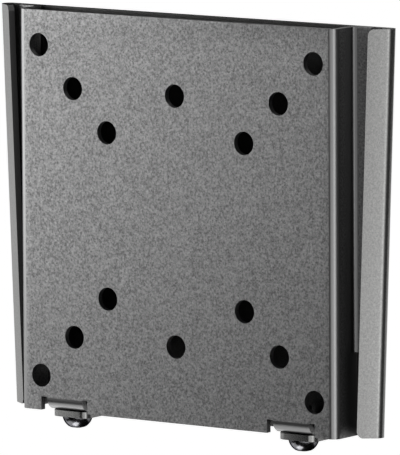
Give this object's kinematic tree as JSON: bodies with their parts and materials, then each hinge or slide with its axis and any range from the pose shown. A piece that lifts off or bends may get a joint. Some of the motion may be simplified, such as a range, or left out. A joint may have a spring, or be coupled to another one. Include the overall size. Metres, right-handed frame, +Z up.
{
  "type": "fixed television wall mount",
  "caption": "Flat fixed wall mount: a folded television plate hangs in the tapered wings of a folded wall plate and is locked by screws from below.",
  "frame": {"origin": "centre of the wall plate's back face, in the plane of the wall, half way up the plates", "axes": "+X to the right of someone who faces the mount, +Y into the wall, +Z up"},
  "size_m": [0.1426, 0.0133, 0.1266],
  "materials": {
    "wall_plate_coat": "smooth satin silver-grey powder coat",
    "tv_plate_coat": "fine-grained metallic grey powder coat",
    "screw_plating": "dark bright plating"
  },
  "bodies": {
    "root": {"wall_plate": "wall_plate_coat", "tv_plate": "tv_plate_coat", "lock_screw_left": "screw_plating", "lock_screw_right": "screw_plating"}
  },
  "joints": []
}
